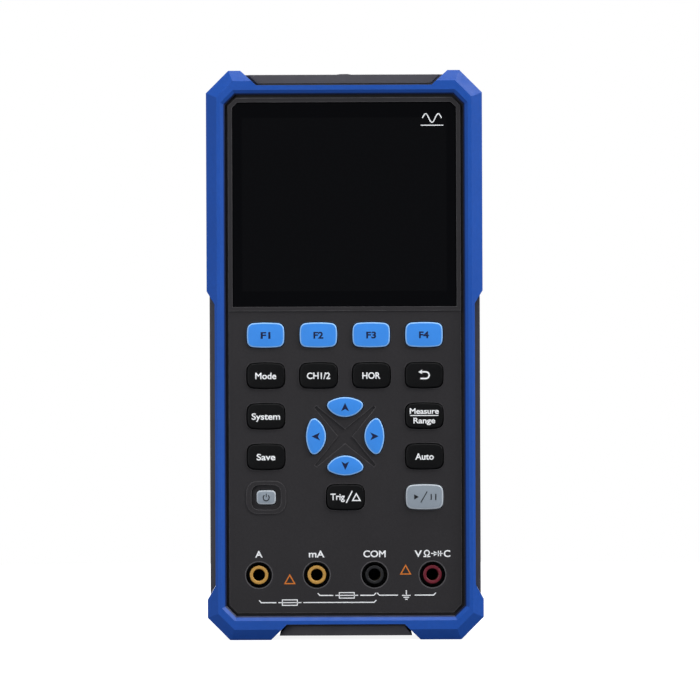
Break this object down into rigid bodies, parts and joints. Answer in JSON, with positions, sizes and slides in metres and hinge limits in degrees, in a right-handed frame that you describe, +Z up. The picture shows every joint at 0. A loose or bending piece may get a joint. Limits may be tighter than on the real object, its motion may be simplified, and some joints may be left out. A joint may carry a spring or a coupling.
{
  "type": "handheld oscilloscope",
  "caption": "Handheld oscilloscope and multimeter in a protective frame, with a large window, a keypad, lead sockets, a battery door and a fold-out stand.",
  "frame": {"origin": "middle of the base, under the middle of the case's depth", "axes": "+Z up along the case, -Y out of the front panel, +X to the right as the panel is read"},
  "size_m": [0.096, 0.038, 0.198],
  "materials": {
    "shell": "fine matte grain",
    "frame": "satin soft-touch",
    "trim": "satin",
    "lens": "high gloss",
    "key_blue": "satin",
    "key_black": "satin",
    "key_grey": "satin",
    "seal": "matte",
    "board": "satin",
    "dark_plastic": "satin",
    "pale_plastic": "matte",
    "amber": "satin",
    "red": "satin",
    "steel": "brushed",
    "nickel": "bright",
    "brass": "bright",
    "battery": "shrink film",
    "ceramic": "matte"
  },
  "bodies": {
    "case": {"front_shell": "shell", "rear_shell": "shell", "front_bumper": "frame", "rear_bumper": "frame", "left_grip": "trim", "right_grip": "trim", "top_trim": "trim", "bottom_trim": "trim", "display_lens": "lens", "jack_contacts": "brass", "connector_well": "dark_plastic", "signal_sockets": "nickel", "case_seal": "seal", "lens_gasket": "seal", "lcd_panel": "dark_plastic", "lcd_bracket": "pale_plastic", "keypad_mat": "pale_plastic", "switch_domes": "steel", "main_board": "board", "shield_can": "steel", "board_chips": "dark_plastic", "buzzer": "dark_plastic", "meter_board": "board", "fuses": "ceramic", "fuse_clips": "brass", "jack_block": "dark_plastic", "jack_sleeve_amp": "amber", "jack_sleeve_milliamp": "amber", "jack_sleeve_common": "dark_plastic", "jack_sleeve_volt": "red", "signal_insulators": "pale_plastic", "signal_contacts": "brass", "usb_port": "steel", "probe_terminals": "brass", "battery_contacts": "steel", "battery_pack": "battery", "hinge_pins": "steel", "case_screws": "steel"},
    "battery_door": {"battery_door": "shell", "door_screws": "steel"},
    "stand": {"kickstand": "shell"},
    "key_f1": {"key_f1": "key_blue"},
    "key_f2": {"key_f2": "key_blue"},
    "key_f3": {"key_f3": "key_blue"},
    "key_f4": {"key_f4": "key_blue"},
    "key_mode": {"key_mode": "key_black"},
    "key_channel": {"key_channel": "key_black"},
    "key_horizontal": {"key_horizontal": "key_black"},
    "key_back": {"key_back": "key_black"},
    "key_system": {"key_system": "key_black"},
    "key_measure": {"key_measure": "key_black"},
    "key_save": {"key_save": "key_black"},
    "key_auto": {"key_auto": "key_black"},
    "key_up": {"key_up": "key_blue"},
    "key_down": {"key_down": "key_blue"},
    "key_left": {"key_left": "key_blue"},
    "key_right": {"key_right": "key_blue"},
    "key_power": {"key_power": "key_grey"},
    "key_trigger": {"key_trigger": "key_black"},
    "key_run": {"key_run": "key_grey"}
  },
  "joints": [
    {"name": "press_f1", "type": "slide", "parent": "case", "child": "key_f1", "axis": [0, 1, 0], "range_m": [0, 0.001], "stiffness_N_per_m": 1500},
    {"name": "press_f2", "type": "slide", "parent": "case", "child": "key_f2", "axis": [0, 1, 0], "range_m": [0, 0.001], "stiffness_N_per_m": 1500},
    {"name": "press_f3", "type": "slide", "parent": "case", "child": "key_f3", "axis": [0, 1, 0], "range_m": [0, 0.001], "stiffness_N_per_m": 1500},
    {"name": "press_f4", "type": "slide", "parent": "case", "child": "key_f4", "axis": [0, 1, 0], "range_m": [0, 0.001], "stiffness_N_per_m": 1500},
    {"name": "press_mode", "type": "slide", "parent": "case", "child": "key_mode", "axis": [0, 1, 0], "range_m": [0, 0.001], "stiffness_N_per_m": 1500},
    {"name": "press_channel", "type": "slide", "parent": "case", "child": "key_channel", "axis": [0, 1, 0], "range_m": [0, 0.001], "stiffness_N_per_m": 1500},
    {"name": "press_horizontal", "type": "slide", "parent": "case", "child": "key_horizontal", "axis": [0, 1, 0], "range_m": [0, 0.001], "stiffness_N_per_m": 1500},
    {"name": "press_back", "type": "slide", "parent": "case", "child": "key_back", "axis": [0, 1, 0], "range_m": [0, 0.001], "stiffness_N_per_m": 1500},
    {"name": "press_system", "type": "slide", "parent": "case", "child": "key_system", "axis": [0, 1, 0], "range_m": [0, 0.001], "stiffness_N_per_m": 1500},
    {"name": "press_measure", "type": "slide", "parent": "case", "child": "key_measure", "axis": [0, 1, 0], "range_m": [0, 0.001], "stiffness_N_per_m": 1500},
    {"name": "press_save", "type": "slide", "parent": "case", "child": "key_save", "axis": [0, 1, 0], "range_m": [0, 0.001], "stiffness_N_per_m": 1500},
    {"name": "press_auto", "type": "slide", "parent": "case", "child": "key_auto", "axis": [0, 1, 0], "range_m": [0, 0.001], "stiffness_N_per_m": 1500},
    {"name": "press_up", "type": "slide", "parent": "case", "child": "key_up", "axis": [0, 1, 0], "range_m": [0, 0.001], "stiffness_N_per_m": 1500},
    {"name": "press_down", "type": "slide", "parent": "case", "child": "key_down", "axis": [0, 1, 0], "range_m": [0, 0.001], "stiffness_N_per_m": 1500},
    {"name": "press_left", "type": "slide", "parent": "case", "child": "key_left", "axis": [0, 1, 0], "range_m": [0, 0.001], "stiffness_N_per_m": 1500},
    {"name": "press_right", "type": "slide", "parent": "case", "child": "key_right", "axis": [0, 1, 0], "range_m": [0, 0.001], "stiffness_N_per_m": 1500},
    {"name": "press_power", "type": "slide", "parent": "case", "child": "key_power", "axis": [0, 1, 0], "range_m": [0, 0.001], "stiffness_N_per_m": 1500},
    {"name": "press_trigger", "type": "slide", "parent": "case", "child": "key_trigger", "axis": [0, 1, 0], "range_m": [0, 0.001], "stiffness_N_per_m": 1500},
    {"name": "press_run", "type": "slide", "parent": "case", "child": "key_run", "axis": [0, 1, 0], "range_m": [0, 0.001], "stiffness_N_per_m": 1500},
    {"name": "stand_swing", "type": "hinge", "parent": "case", "child": "stand", "pos_m": [0, 0.0144, 0.106], "axis": [1, 0, 0], "range_deg": [0, 60]},
    {"name": "door_lift", "type": "slide", "parent": "case", "child": "battery_door", "axis": [0, 1, 0], "range_m": [0, 0.012]}
  ]
}
